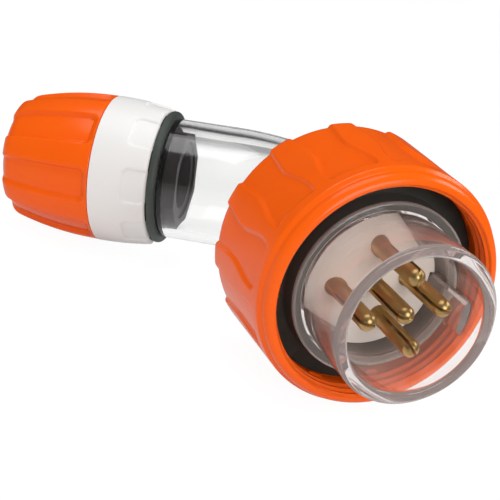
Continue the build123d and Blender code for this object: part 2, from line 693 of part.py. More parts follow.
def write(name, shape):
    """Write one sub-part, or a group of like solids, to its own file."""
    if isinstance(shape, list):
        shape = Compound(children=shape)
    export_step(shape, os.path.join("parts", name + ".step"))


def main():
    os.makedirs("parts", exist_ok=True)
    write("front_housing", front_housing())
    write("pin_base", pin_base())
    write("face_gasket", face_gasket())
    write("body_seal", body_seal())
    screws = []
    for name, (place, azimuth, slot_azimuth) in pin_places().items():
        write(name, contact_pin(place, azimuth, slot_azimuth))
        screws.append(terminal_screw(place, azimuth))
    write("terminal_screws", screws)
    write("terminal_carrier", terminal_carrier())
    write("carrier_screws", carrier_screws())
    write("body_screws", body_screws())
    write("lock_ring", lock_ring())
    write("elbow_body", elbow_body())
    write("gland_locknut", gland_locknut())
    write("collar_seal", collar_seal())
    write("gland_collar", gland_collar())
    write("cable_grommet", cable_grommet())
    write("slip_washer", slip_washer())
    write("gland_nut", gland_nut())


main()
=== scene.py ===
"""Looks of the angled plug: orange ring and gland nut, clear body and shroud, white collar, brass pins.

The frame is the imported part's: X is the plug axis, Z is up, and meshes are in metres.
Sizes are written in millimetres and angles in degrees.
"""

import json
import math

import bmesh
import bpy
from mathutils import Matrix, Vector

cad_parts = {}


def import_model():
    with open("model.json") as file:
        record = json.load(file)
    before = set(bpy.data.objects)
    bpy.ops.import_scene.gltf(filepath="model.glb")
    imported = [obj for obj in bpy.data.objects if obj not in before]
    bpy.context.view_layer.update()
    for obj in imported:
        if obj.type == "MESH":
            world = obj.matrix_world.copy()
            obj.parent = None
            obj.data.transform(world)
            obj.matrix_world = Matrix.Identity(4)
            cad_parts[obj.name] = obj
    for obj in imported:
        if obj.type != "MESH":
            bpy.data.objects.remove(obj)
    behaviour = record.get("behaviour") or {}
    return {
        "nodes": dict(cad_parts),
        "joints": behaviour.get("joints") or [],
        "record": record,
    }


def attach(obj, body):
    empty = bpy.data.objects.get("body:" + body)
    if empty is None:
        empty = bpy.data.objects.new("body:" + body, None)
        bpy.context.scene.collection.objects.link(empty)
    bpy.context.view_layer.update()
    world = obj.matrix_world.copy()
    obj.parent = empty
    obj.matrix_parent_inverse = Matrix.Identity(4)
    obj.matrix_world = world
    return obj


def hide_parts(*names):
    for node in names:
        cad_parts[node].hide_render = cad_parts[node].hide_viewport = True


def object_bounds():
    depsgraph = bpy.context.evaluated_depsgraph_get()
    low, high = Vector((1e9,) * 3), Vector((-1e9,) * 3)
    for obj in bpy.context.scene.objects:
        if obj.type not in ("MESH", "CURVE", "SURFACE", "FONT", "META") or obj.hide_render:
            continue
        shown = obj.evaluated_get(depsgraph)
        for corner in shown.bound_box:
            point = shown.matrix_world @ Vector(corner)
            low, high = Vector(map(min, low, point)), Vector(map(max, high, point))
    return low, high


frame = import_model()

CAD_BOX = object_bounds()
MM = 0.001
MERGE = 0.001           # points nearer to each other than this become one
ON_WALL = 0.05          # points nearer to a wall's radius than this lie on it
SHARP_ANGLE = 35.0      # edges that turn by more than this stay sharp
SEALING_FACE = 0.0      # flat front of the gasket, on the plug axis
SEAT_GAP = 0.15         # between pieces that seat on each other

# View of the photograph
VIEW_AZIMUTH = 64.83
VIEW_ELEVATION = 19.02
VIEW_ROLL = 17.2
VIEW_TARGET = (-35.99, -25.00, -9.94)
VIEW_DISTANCE = 300.75
FRAME_PIXELS = 500
FOCAL_PIXELS = 900
SENSOR = 36.0
CLIP_START = 10.0

# Threads
THREAD_PITCH = 3.0
THREAD_HEIGHT = 0.9
THREAD_ROW = 0.3        # spacing of the mesh along a thread
THREAD_FOOT = 0.1       # a flank starts and ends at these shares of the pitch
THREAD_CREST = 0.4

# Lock ring, about the plug axis
RING_STEPS = 576
RING_ROW = 0.8          # spacing of the mesh along the flutes
RING_BACK_R = 41.15     # over the lands, before the back edge is rounded
RING_BAND_R = 39.4      # front end of the smooth band
RING_BACK_ROUND = 3.2
RING_LIP_R = 38.2
RING_LIP_LENGTH = 4.6
RING_LIP_ROUND = 2.9
RING_STEP = 1.2         # length of the slope from the band down to the lip
RING_STEP_ROUND = 1.0
RING_MOUTH = 0.4        # chamfer of the bore
RING_BORE_GAP = 0.4     # round the gasket
RING_SHOULDER_FRONT = -13.3
RING_SHOULDER_LENGTH = 4.6
RING_SHOULDER_CHAMFER = 1.0
RING_SKIRT_WALL = 5.55
RING_THREAD_START = 1.0  # ahead of the gasket's face
RING_THREAD_FADE = 1.0
RING_FLUTES = 12
RING_FLUTE_DEPTH = 1.0
RING_FLUTE_END = 8.9    # behind the front
RING_FLUTE_CORNER = 1.4
RING_FLUTE_EDGE = 0.65  # half the width of a flute's wall
RING_FLUTE_SKIN = 3.0   # thickness of the skin that moves as one with the surface
LAND_BACK = 10.8        # width of a land between two flutes, in degrees
LAND_MIDDLE = 15.0
LAND_FRONT = 8.0
LAND_WIDEST = 16.5      # ahead of the back
LAND_NARROWEST = 31.0

# Gland nut, about the gland axis
NUT_STEPS = 384
NUT_ROW = 0.9
NUT_BAND = 1.8
NUT_DOME = 112.0
NUT_SHORT = 2.2         # less than the node's length
NUT_END_ROUND = 6.0
NUT_END_ROWS = 6        # rows of the dome that give its direction at the end
NUT_FRONT_ROUND = 0.5
NUT_MOUTH_CHAMFER = 1.5
NUT_BORE_GAP = 0.4      # round the collar's thread
NUT_FLUTES = 8
NUT_FLUTE_ANGLE = 24.5
NUT_FLUTE_TURN = -2.7
NUT_FLUTE_DEPTH = 1.7
NUT_FLUTE_CORNER = 2.0
NUT_FLUTE_EDGE = 0.75
NUT_FLUTE_SKIN = 3.0
NUT_FLUTE_FLOOR = 4.6   # below the surface, where nothing moves any more

# Collar, about the gland axis
COLLAR_STEPS = 384
COLLAR_ROW = 0.7
COLLAR_LENGTH = 20.7
COLLAR_CROWN = 128.0
COLLAR_ROUND = 1.5
COLLAR_ROUND_ROWS = 5   # rows of the crown that give its direction at the front
COLLAR_THREAD_R = 22.3
COLLAR_THREAD_FADE = 1.5
COLLAR_SPIGOT_R = 14.5
COLLAR_PANELS = 8
COLLAR_PANEL_ANGLE = 26.5
COLLAR_PANEL_TURN = 2.4
COLLAR_PANEL_LENGTH = 8.6
COLLAR_PANEL_DEPTH = 0.8
COLLAR_PANEL_CORNER = 2.2
COLLAR_PANEL_EDGE = 0.4
COLLAR_PANEL_SKIN = 1.0
COLLAR_PANEL_FLOOR = 3.0
LOCKNUT_SHARE = 0.55    # of the nodes' reach into the elbow, which the photograph shows shorter

# Front housing, about the plug axis
HOUSING_STEPS = 256
HOUSING_ROW = 0.6       # spacing of the mesh along the bore
SHROUD_R = 25.2
SHROUD_BORE_R = 21.3
SHROUD_ROOT_R = 25.6
SHROUD_RIM_ROUND = 1.2
BEAD_R = 28.5
BEAD_THICKNESS = 1.9
BEAD_ROUND = 0.7
LEDGE_R = 19.9
SPIGOT_R = 27.15
SPIGOT_BORE_R = 24.15
FLANGE_THICKNESS = 6.0
KEY_WIDTH = 10.0
KEY_HEIGHT = 2.2
KEY_SHORT = 8.0         # the key stops this far behind the rim
KEY_AZIMUTH = 3.0
KEY_EDGE = 0.3

# Elbow, along its bent middle line
ELBOW_STEPS = 192
ELBOW_ROW = 1.2
ELBOW_FLANGE = 4.5
NECK_R = 30.2
NECK_BORE_R = 27.3
NECK_LENGTH = 23.0
TUBE_R = 22.7
TUBE_BORE_R = 19.5
BEND_RADIUS = 40.0
END_WALL = 2.0
END_ROUND = 0.5

# Tool rings on turned metal
TOOL_RING = 0.12        # along the plug axis
TOOL_RING_REACH = 8.0   # across it

# Studio
FLOOR_SIZE = 40000.0
FLOOR_GAP = 0.05        # under the part
FLOOR_GREY = 0.8        # of the matt floor, which takes the shadow
FLOOR_GLOW = 1.06
FLOOR_GLOW_SHARE = 0.9  # the rest of what is seen is the matt floor
FLOOR_MIRRORED = 0.65   # share of the glow that shiny surfaces mirror
POOL_BEHIND = 220.0     # middle of the bright pool that mirrors and clear plastic show, behind the part
POOL_NEAR = 140.0       # the pool fades between these distances from its middle
POOL_FAR = 480.0
POOL_EDGE = 0.3         # level that it fades to
AMBIENT = 0.6           # light of the surroundings on matt surfaces
MIRRORED = 0.03         # what shiny surfaces mirror of the surroundings
SIDES = 0.04            # what clear plastic shows of the sides and of the viewer's end
SIDES_TO = 0.65         # cosine of the angle from the line of sight where the sides end
BACKDROP_FROM = 0.92    # and where the white backdrop starts


class Line:
    """A line that round pieces are turned about. Azimuths start from a direction across it."""

    def __init__(self, point, along, start):
        self.point = Vector(point)
        self.along = Vector(along).normalized()
        across = Vector(start)
        self.start = (across - self.along * across.dot(self.along)).normalized()
        self.side = self.along.cross(self.start)

    def place(self, station, radius, azimuth=0.0):
        """Point in metres from a station and a radius in millimetres and an azimuth in radians."""
        out = self.start * math.cos(azimuth) + self.side * math.sin(azimuth)
        return self.point + (self.along * station + out * radius) * MM

    def measure(self, point):
        """Station, radius and azimuth of a point."""
        offset = (point - self.point) / MM
        station = offset.dot(self.along)
        out = offset - self.along * station
        return station, out.length, math.atan2(out.dot(self.side), out.dot(self.start))


class Reach:
    """How far a CAD node reaches along a line and round it."""

    def __init__(self, node, line):
        places = [line.measure(vertex.co) for vertex in frame["nodes"][node].data.vertices]
        self.low = min(place[0] for place in places)
        self.high = max(place[0] for place in places)
        self.inner = min(place[1] for place in places)
        self.outer = max(place[1] for place in places)


class Spine:
    """Middle line of the elbow: back along the plug axis, round the bend and out along the gland axis."""

    def __init__(self, radius):
        self.first = -PLUG.along
        self.radius = radius
        self.angle = self.first.angle(GLAND.along)
        self.aside = (GLAND.along - self.first * GLAND.along.dot(self.first)).normalized()
        self.across = self.first.cross(self.aside)
        self.tangent = radius * math.tan(self.angle / 2)
        self.bend_start = (GLAND.point - PLUG.point).length / MM - self.tangent
        self.bend_end = self.bend_start + radius * self.angle

    def station(self, gland_station):
        """Station on the middle line of a place past the bend on the gland axis."""
        return self.bend_end + gland_station - self.tangent

    def ring(self, station, radius):
        """Matrix that takes a circle of radius 1 to a station and a radius in millimetres."""
        on_bend = min(max(station, self.bend_start), self.bend_end)
        turn = (on_bend - self.bend_start) / self.radius
        along = self.first * math.cos(turn) + self.aside * math.sin(turn)
        inward = self.aside * math.cos(turn) - self.first * math.sin(turn)
        centre = self.first * self.bend_start + self.aside * self.radius
        middle = centre - inward * self.radius + along * (station - on_bend)
        axes = Matrix((inward, self.across, along)).transposed()
        size = Matrix.Scale(radius * MM, 4)
        return Matrix.Translation(PLUG.point + middle * MM) @ axes.to_4x4() @ size


joints = {joint["name"]: joint for joint in frame["joints"]}
gland_joint = joints["gland_nut_turn"]
PLUG = Line((0, 0, 0), (1, 0, 0), (0, 1, 0))
GLAND = Line(gland_joint["pos_m"], gland_joint["axis"], (0, 0, -1))
SPINE = Spine(BEND_RADIUS)
RING = Reach("lock_ring", PLUG)
GASKET = Reach("face_gasket", PLUG)
BASE = Reach("pin_base", PLUG)
CARRIER = Reach("terminal_carrier", PLUG)
HOUSING = Reach("front_housing", PLUG)
NUT = Reach("gland_nut", GLAND)
COLLAR = Reach("gland_collar", GLAND)
SEAL = Reach("collar_seal", GLAND)
GROMMET = Reach("cable_grommet", GLAND)
WASHER = Reach("slip_washer", GLAND)
LOCKNUT = Reach("gland_locknut", GLAND)


# Shaping


def smoothstep(low, high, value):
    """Smooth rise from 0 at low to 1 at high."""
    share = min(max((value - low) / (high - low), 0.0), 1.0)
    return share * share * (3 - 2 * share)


def fillet(before, corner, after, radius, steps=6):
    """Points of the arc that rounds a corner of an outline."""
    corner = Vector(corner)
    back = (Vector(before) - corner).normalized()
    ahead = (Vector(after) - corner).normalized()
    half = back.angle(ahead) / 2
    centre = corner + (back + ahead).normalized() * (radius / math.sin(half))
    first = corner + back * (radius / math.tan(half)) - centre
    last = corner + ahead * (radius / math.tan(half)) - centre
    sweep = first.angle_signed(last)
    return [tuple(centre + Matrix.Rotation(-sweep * k / steps, 2) @ first) for k in range(steps + 1)]


def rows(first, last, spacing):
    """Stations from the first, without the last, at an even spacing."""
    count = max(math.ceil(abs(last - first) / spacing), 1)
    return [first + (last - first) * k / count for k in range(count)]


def divided(outline, spacing):
    """Open outline with points at a spacing along its long lines."""
    places = []
    for first, last in zip(outline, outline[1:]):
        length = math.dist(first, last)
        for along in rows(0, length, spacing):
            places.append(tuple(Vector(first).lerp(Vector(last), along / length)))
    return places + outline[-1:]


def swept(outline, spine, steps):
    """Shell of a circle that is extruded along a spine, through a closed outline of (station, radius)."""
    bm = bmesh.new()
    bmesh.ops.create_circle(bm, segments=steps, radius=1, matrix=spine.ring(*outline[0]))
    first = bm.edges[:]
    last = first
    for before, after in zip(outline, outline[1:]):
        made = bmesh.ops.extrude_edge_only(bm, edges=last)["geom"]
        ends = {item for item in made if isinstance(item, bmesh.types.BMVert)}
        edges = [item for item in made if isinstance(item, bmesh.types.BMEdge)]
        last = [edge for edge in edges if ends.issuperset(edge.verts)]
        move = spine.ring(*after) @ spine.ring(*before).inverted()
        bmesh.ops.transform(bm, matrix=move, verts=list(ends))
    bmesh.ops.bridge_loops(bm, edges=first + last)
    bmesh.ops.recalc_face_normals(bm, faces=bm.faces)
    return bm


def turned(outline, line, steps):
    """Shell turned about a line from a closed outline of (station, radius)."""
    bm = bmesh.new()
    corners = [bm.verts.new(line.place(*place)) for place in outline]
    for pair in zip(corners, corners[1:] + corners[:1]):
        bm.edges.new(pair)
    bmesh.ops.spin(
        bm, geom=bm.verts[:] + bm.edges[:], cent=line.point, axis=line.along, dvec=(0, 0, 0),
        angle=2 * math.pi, steps=steps, use_merge=True, use_duplicate=False,
    )
    bmesh.ops.remove_doubles(bm, verts=bm.verts, dist=MERGE * MM)
    bmesh.ops.recalc_face_normals(bm, faces=bm.faces)
    return bm


def node_copy(node):
    """Copy of a CAD node's mesh, with its loose triangles merged."""
    bm = bmesh.new()
    bm.from_mesh(frame["nodes"][node].data)
    bmesh.ops.remove_doubles(bm, verts=bm.verts, dist=MERGE * MM)
    return bm


def sink(bm, line, count, turn, width, closed_at, sense, corner, edge, depth, skin):
    """Press flutes into the outside of a turned shell, evenly round its line.

    width(station) is a flute's width in degrees. A flute closes at one station, with rounded corners, and
    runs out towards sense. skin(station) gives the radii between which its depth grows from none to full.
    """
    pitch = 360 / count
    for vert in bm.verts:
        station, radius, azimuth = line.measure(vert.co)
        low, high = skin(station)
        if radius <= low:
            continue
        across = (math.degrees(azimuth) - turn + pitch / 2) % pitch - pitch / 2
        half_width = radius * math.radians(width(station) / 2)
        aside = abs(radius * math.radians(across)) - (half_width - corner)
        ahead = (closed_at - station) * sense + corner
        outside = math.hypot(max(aside, 0), max(ahead, 0)) + min(max(aside, ahead), 0) - corner
        share = 1 - smoothstep(-edge, edge, outside)
        share *= smoothstep(low, high, radius)
        if share > 0:
            vert.co = line.place(station, radius - depth * share, azimuth)


def press_thread(bm, line, low, high, wall_r, fade):
    """Press a thread inwards from the wall of one radius, between two stations. It fades at both ends."""
    for vert in bm.verts:
        station, radius, azimuth = line.measure(vert.co)
        if not low < station < high or abs(radius - wall_r) > ON_WALL:
            continue
        phase = (station / THREAD_PITCH + azimuth / (2 * math.pi)) % 1
        share = smoothstep(THREAD_FOOT, THREAD_CREST, min(phase, 1 - phase))
        share *= smoothstep(0, fade, min(station - low, high - station))
        vert.co = line.place(station, radius - THREAD_HEIGHT * share, azimuth)


def raise_key(bm, end):
    """Move the shroud's bore inwards where the key rib is. The rib is flat inside."""
    for vert in bm.verts:
        station, radius, azimuth = PLUG.measure(vert.co)
        turn = azimuth - math.radians(KEY_AZIMUTH)
        if abs(radius - SHROUD_BORE_R) > ON_WALL or math.cos(turn) <= 0:
            continue
        beside = abs(radius * math.sin(turn)) - KEY_WIDTH / 2
        share = 1 - smoothstep(-KEY_EDGE, KEY_EDGE, max(beside, station - end))
        flat_r = (SHROUD_BORE_R - KEY_HEIGHT) / math.cos(turn)
        vert.co = PLUG.place(station, radius + (flat_r - radius) * share, azimuth)


def piece(name, bm, body, node, finish):
    """Finished object from a bmesh, which stands for a CAD node and rides on a body."""
    mesh = bpy.data.meshes.new(name)
    bm.to_mesh(mesh)
    bm.free()
    mesh.polygons.foreach_set("use_smooth", [True] * len(mesh.polygons))
    mesh.set_sharp_from_angle(angle=math.radians(SHARP_ANGLE))
    mesh.materials.append(finish)
    made = bpy.data.objects.new(name, mesh)
    bpy.context.scene.collection.objects.link(made)
    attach(made, body)
    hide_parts(node)
    return made


def second_finish(made, finish, line, covers):
    """Give another finish to the faces that covers(station, radius) picks."""
    made.data.materials.append(finish)
    for polygon in made.data.polygons:
        station, radius, azimuth = line.measure(polygon.center)
        polygon.material_index = int(covers(station, radius))


# Finishes


class Value:
    """A socket of a finish. Sums and products of values add the Math nodes that they need."""

    def __init__(self, finish, socket):
        self.finish = finish
        self.socket = socket

    def math(self, operation, first, second):
        return self.finish.node("ShaderNodeMath", {"operation": operation}, {0: first, 1: second})

    def __add__(self, other):
        return self.math("ADD", self, other)

    def __radd__(self, other):
        return self.math("ADD", other, self)

    def __sub__(self, other):
        return self.math("SUBTRACT", self, other)

    def __rsub__(self, other):
        return self.math("SUBTRACT", other, self)

    def __mul__(self, other):
        return self.math("MULTIPLY", self, other)

    def __rmul__(self, other):
        return self.math("MULTIPLY", other, self)


class Finish:
    """A procedural material, or the nodes of the world."""

    def __init__(self, name, tree=None):
        if tree is None:
            self.material = bpy.data.materials.new(name)
            self.material.use_nodes = True
            tree = self.material.node_tree
        self.tree = tree
        self.tree.nodes.clear()

    def node(self, kind, settings=None, sockets=None, output=0):
        """Make a node, set it, fill or link its sockets and give one of its outputs."""
        made = self.tree.nodes.new(kind)
        for key, value in (settings or {}).items():
            if key == "stops":
                self.ramp(made, value)
            else:
                setattr(made, key, value)
        for key, value in (sockets or {}).items():
            if isinstance(value, Value):
                self.tree.links.new(value.socket, made.inputs[key])
            else:
                made.inputs[key].default_value = value
        return Value(self, made.outputs[output]) if made.outputs else None

    def ramp(self, made, stops):
        """Set the stops of a colour ramp."""
        elements = made.color_ramp.elements
        while len(elements) < len(stops):
            elements.new(1.0)
        for element, (position, colour) in zip(elements, stops):
            element.position = position
            element.color = colour

    def place(self):
        """Place on the part, in metres."""
        return self.node("ShaderNodeTexCoord", output="Object")

    def noise(self, size, detail=2.0):
        """Noise with features of about that size in millimetres, from 0 to 1."""
        sockets = {"Vector": self.place(), "Scale": 1 / (size * MM), "Detail": detail}
        return self.node("ShaderNodeTexNoise", sockets=sockets, output="Fac")

    def shades(self, share, dark, light):
        """Colour between two shades."""
        stops = [(0.0, (*dark, 1)), (1.0, (*light, 1))]
        return self.node("ShaderNodeValToRGB", {"stops": stops}, {"Fac": share}, "Color")

    def bump(self, height, depth):
        """Normal from a height of 0 to 1 that stands for a depth in millimetres."""
        sockets = {"Height": height, "Distance": depth * MM, "Strength": 1.0}
        return self.node("ShaderNodeBump", sockets=sockets, output="Normal")

    def fade(self, value, low, high, at_low, at_high):
        """Smooth change from one level to another between two values."""
        sockets = {"Value": value, "From Min": low, "From Max": high, "To Min": at_low, "To Max": at_high}
        return self.node("ShaderNodeMapRange", {"interpolation_type": "SMOOTHSTEP"}, sockets, "Result")

    def surface(self, shader):
        """Finished material."""
        self.node("ShaderNodeOutputMaterial", sockets={"Surface": shader})
        return self.material


def uneven(middle, share, spread):
    """Level that strays from a middle by half of a spread either way."""
    return middle + spread * (share - 0.5)


def moulded(name, dark, light, roughness, shine):
    """Moulded plastic: a faint cloud of colour, an uneven gloss and a fine grain."""
    finish = Finish(name)
    cloud = finish.noise(size=14.0)
    gloss = finish.noise(size=5.0, detail=4.0)
    grain = finish.noise(size=0.45, detail=3.0)
    sockets = {
        "Base Color": finish.shades(cloud, dark, light),
        "Roughness": uneven(roughness, gloss, spread=0.1),
        "Normal": finish.bump(grain, depth=0.004),
        "Specular IOR Level": shine,
    }
    return finish.surface(finish.node("ShaderNodeBsdfPrincipled", sockets=sockets))


def rubber(name, dark, light, roughness):
    """Moulded rubber: charcoal with a bloom and a fine matt grain."""
    finish = Finish(name)
    bloom = finish.noise(size=6.0, detail=4.0)
    gloss = finish.noise(size=2.0, detail=4.0)
    grain = finish.noise(size=0.3, detail=3.0)
    sockets = {
        "Base Color": finish.shades(bloom, dark, light),
        "Roughness": uneven(roughness, gloss, spread=0.2),
        "Normal": finish.bump(grain, depth=0.02),
        "IOR": 1.45,
    }
    return finish.surface(finish.node("ShaderNodeBsdfPrincipled", sockets=sockets))


def turned_metal(name, dark, light, roughness):
    """Turned metal: fine tool rings across the plug axis, and a slight stain."""
    finish = Finish(name)
    along = 1 / (TOOL_RING * MM)
    across = 1 / (TOOL_RING_REACH * MM)
    sockets = {"Vector": finish.place(), "Scale": (along, across, across)}
    stretched = finish.node("ShaderNodeMapping", {"vector_type": "POINT"}, sockets)
    sockets = {"Vector": stretched, "Scale": 1.0, "Detail": 2.0}
    rings = finish.node("ShaderNodeTexNoise", sockets=sockets, output="Fac")
    stain = finish.noise(size=3.0, detail=4.0)
    sockets = {
        "Base Color": finish.shades(stain, dark, light),
        "Metallic": 1.0,
        "Roughness": uneven(roughness, rings, spread=0.12),
        "Normal": finish.bump(rings, depth=0.003),
    }
    return finish.surface(finish.node("ShaderNodeBsdfPrincipled", sockets=sockets))


def clear(name, tint, shade, haze, milk):
    """Clear moulded plastic with a milky haze. Lamps shine through it, so what is inside stays lit."""
    finish = Finish(name)
    flow = finish.noise(size=9.0)
    gloss = finish.noise(size=4.0, detail=3.0)
    sockets = {
        "Base Color": (*tint, 1),
        "Roughness": uneven(0.03, gloss, spread=0.02),
        "Normal": finish.bump(flow, depth=0.01),
        "IOR": 1.5,
        "Transmission Weight": 1.0,
    }
    glass = finish.node("ShaderNodeBsdfPrincipled", sockets=sockets)
    cloudy = finish.node("ShaderNodeBsdfDiffuse", sockets={"Color": (*milk, 1)})
    body = finish.node("ShaderNodeMixShader", sockets={0: haze, 1: glass, 2: cloudy})
    passing = finish.node("ShaderNodeBsdfTransparent", sockets={"Color": (*shade, 1)})
    lamp_ray = finish.node("ShaderNodeLightPath", output="Is Shadow Ray")
    return finish.surface(finish.node("ShaderNodeMixShader", sockets={0: lamp_ray, 1: body, 2: passing}))


ORANGE = moulded("orange_plastic", (0.97, 0.112, 0.0), (1.0, 0.128, 0.0), roughness=0.22, shine=0.33)
WHITE = moulded("white_plastic", (0.83, 0.82, 0.80), (0.87, 0.865, 0.85), roughness=0.35, shine=0.35)
PALE = moulded("pale_plastic", (0.82, 0.75, 0.69), (0.88, 0.81, 0.75), roughness=0.4, shine=0.3)
GREY = moulded("grey_plastic", (0.55, 0.55, 0.53), (0.6, 0.6, 0.58), roughness=0.45, shine=0.3)
# Dark plastic: the locknut's own colour, and also painted shade on the collar and the end wall inside the
# elbow.
DARK_AND_PAINTED_SHADE = moulded("dark_plastic", (0.016, 0.011, 0.01), (0.024, 0.017, 0.016), roughness=0.5, shine=0.2)
BLACK = rubber("black_rubber", (0.046, 0.058, 0.05), (0.066, 0.078, 0.07), roughness=0.5)
BRASS = turned_metal("brass", (0.5, 0.33, 0.12), (0.64, 0.44, 0.19), roughness=0.36)
STEEL = turned_metal("screw_steel", (0.52, 0.52, 0.5), (0.66, 0.66, 0.64), roughness=0.28)
CLEAR = clear(
    "clear_plastic",
    tint=(0.98, 0.98, 0.975), shade=(0.93, 0.93, 0.925), haze=0.008, milk=(0.9, 0.9, 0.9),
)
WARM_CLEAR = clear(
    "clear_plastic_warm",
    tint=(0.975, 0.95, 0.94), shade=(0.93, 0.91, 0.9), haze=0.06, milk=(1.0, 0.7, 0.62),
)
MILKY_CLEAR = clear(
    "clear_plastic_milky",
    tint=(0.975, 0.95, 0.94), shade=(0.93, 0.91, 0.9), haze=0.18, milk=(1.0, 0.84, 0.8),
)


# Pieces


def lock_ring():
    """Fluted ring with a beaded lip, a thread inside and a keeper shoulder."""
    back, front = RING.low, RING.high
    band_front = front - RING_LIP_LENGTH
    bore_r = GASKET.outer + RING_BORE_GAP
    bore_front = front - RING_MOUTH
    skirt_r = RING_BACK_R - RING_SKIRT_WALL
    taper = (RING_BACK_R - RING_BAND_R) / (band_front - back)
    back_corner = (back, RING_BACK_R)
    band_corner = (band_front, RING_BAND_R)
    lip_foot = (band_front + RING_STEP, RING_LIP_R)
    lip_corner = (front, RING_LIP_R)
    shoulder_back = RING_SHOULDER_FRONT - RING_SHOULDER_LENGTH
    round_back = fillet((back, skirt_r), back_corner, band_corner, RING_BACK_ROUND, steps=12)
    outline = [place for place in round_back if place[1] > skirt_r]
    outline[0] = (outline[0][0], skirt_r)
    outline += fillet(back_corner, band_corner, lip_foot, RING_STEP_ROUND, steps=4)
    outline += fillet(band_corner, lip_foot, lip_corner, RING_STEP_ROUND, steps=4)
    outline += fillet(lip_foot, lip_corner, (front, bore_r), RING_LIP_ROUND, steps=8)
    outline += [(front, bore_r + RING_MOUTH), (bore_front, bore_r)]
    outline = divided(outline, RING_ROW)
    outline += [(station, bore_r) for station in rows(bore_front, SEALING_FACE, THREAD_ROW)[1:]]
    outline += [
        (SEALING_FACE, bore_r),
        (RING_SHOULDER_FRONT, bore_r),
        (RING_SHOULDER_FRONT, RING.inner),
        (shoulder_back, RING.inner),
        (shoulder_back, skirt_r - RING_SHOULDER_CHAMFER),
        (shoulder_back - RING_SHOULDER_CHAMFER, skirt_r),
    ]
    bm = turned(outline, PLUG, RING_STEPS)

    def skin(station):
        outer = RING_BACK_R - taper * (station - back)
        return outer - RING_SKIRT_WALL, outer - RING_FLUTE_SKIN

    def flute_width(station):
        rise = smoothstep(back, back + LAND_WIDEST, station)
        fall = smoothstep(back + LAND_WIDEST, back + LAND_NARROWEST, station)
        land = LAND_BACK + (LAND_MIDDLE - LAND_BACK) * rise + (LAND_FRONT - LAND_MIDDLE) * fall
        return 360 / RING_FLUTES - land

    sink(
        bm, PLUG, RING_FLUTES, turn=0, width=flute_width, closed_at=front - RING_FLUTE_END, sense=-1,
        corner=RING_FLUTE_CORNER, edge=RING_FLUTE_EDGE, depth=RING_FLUTE_DEPTH, skin=skin,
    )
    press_thread(bm, PLUG, SEALING_FACE + RING_THREAD_START, bore_front, bore_r, RING_THREAD_FADE)
    piece("lock_ring_fluted", bm, "ring", "lock_ring", ORANGE)


def gland_nut():
    """Domed nut with eight flutes."""
    front, end = NUT.low, NUT.high - NUT_SHORT
    flat = front + NUT_BAND
    mouth_r = NUT.inner
    bore_r = COLLAR_THREAD_R + NUT_BORE_GAP
    shoulder = WASHER.high + SEAT_GAP

    def dome(station):
        along = max(station - flat, 0)
        return NUT.outer - NUT_DOME + math.sqrt(NUT_DOME**2 - along**2)

    side = [(station, dome(station)) for station in rows(flat, end, NUT_ROW)]
    end_corner = (end, dome(end))
    round_end = fillet(side[-NUT_END_ROWS], end_corner, (end, mouth_r), NUT_END_ROUND, steps=10)
    side = [place for place in side if place[0] < round_end[0][0]]
    front_corner = (front, NUT.outer)
    outline = fillet((front, bore_r), front_corner, side[0], NUT_FRONT_ROUND, steps=3)
    outline += side + round_end
    outline += [
        (end, mouth_r + NUT_MOUTH_CHAMFER),
        (end - NUT_MOUTH_CHAMFER, mouth_r),
        (shoulder, mouth_r),
        (shoulder, bore_r),
        (front, bore_r),
    ]
    bm = turned(outline, GLAND, NUT_STEPS)

    def skin(station):
        return dome(station) - NUT_FLUTE_FLOOR, dome(station) - NUT_FLUTE_SKIN

    def flute_width(station):
        return NUT_FLUTE_ANGLE

    sink(
        bm, GLAND, NUT_FLUTES, NUT_FLUTE_TURN, width=flute_width, closed_at=flat, sense=1,
        corner=NUT_FLUTE_CORNER, edge=NUT_FLUTE_EDGE, depth=NUT_FLUTE_DEPTH, skin=skin,
    )
    piece("gland_nut_fluted", bm, "nut", "gland_nut", ORANGE)


def gland_collar():
    """White collar with sunk panels, a threaded spigot for the nut, and a spigot for the locknut in
    painted shade.
    """
    front = SEAL.high
    back = front + COLLAR_LENGTH

    def crown(station):
        return COLLAR.outer - COLLAR_CROWN + math.sqrt(COLLAR_CROWN**2 - (station - back)**2)

    side = [(station, crown(station)) for station in rows(back, front, COLLAR_ROW)]
    front_corner = (front, crown(front))
    front_foot = (front, COLLAR_SPIGOT_R)
    round_front = fillet(side[-COLLAR_ROUND_ROWS], front_corner, front_foot, COLLAR_ROUND, steps=5)
    side = [place for place in side if place[0] > round_front[0][0]]
    pocket_r = GROMMET.outer + SEAT_GAP
    spigot_end = LOCKNUT.high + (COLLAR.low - LOCKNUT.high) * LOCKNUT_SHARE
    outline = side + round_front + [
        front_foot,
        (spigot_end, COLLAR_SPIGOT_R),
        (spigot_end, COLLAR.inner),
        (GROMMET.low, COLLAR.inner),
        (GROMMET.low, pocket_r),
        (COLLAR.high, pocket_r),
    ]
    outline += [(station, COLLAR_THREAD_R) for station in rows(COLLAR.high, back, THREAD_ROW)]
    outline += [(back, COLLAR_THREAD_R)]
    bm = turned(outline, GLAND, COLLAR_STEPS)

    def skin(station):
        return crown(station) - COLLAR_PANEL_FLOOR, crown(station) - COLLAR_PANEL_SKIN

    def panel_width(station):
        return COLLAR_PANEL_ANGLE

    sink(
        bm, GLAND, COLLAR_PANELS, COLLAR_PANEL_TURN, width=panel_width,
        closed_at=front + COLLAR_PANEL_LENGTH, sense=-1,
        corner=COLLAR_PANEL_CORNER, edge=COLLAR_PANEL_EDGE, depth=COLLAR_PANEL_DEPTH, skin=skin,
    )
    press_thread(bm, GLAND, back, COLLAR.high, COLLAR_THREAD_R, COLLAR_THREAD_FADE)
    made = piece("gland_collar_panelled", bm, "plug", "gland_collar", WHITE)

    # Inside the elbow the collar is painted dark: painted shade between the seal and the locknut.
    def painted_shade_in_elbow(station, radius):
        return station < front

    second_finish(made, DARK_AND_PAINTED_SHADE, GLAND, painted_shade_in_elbow)


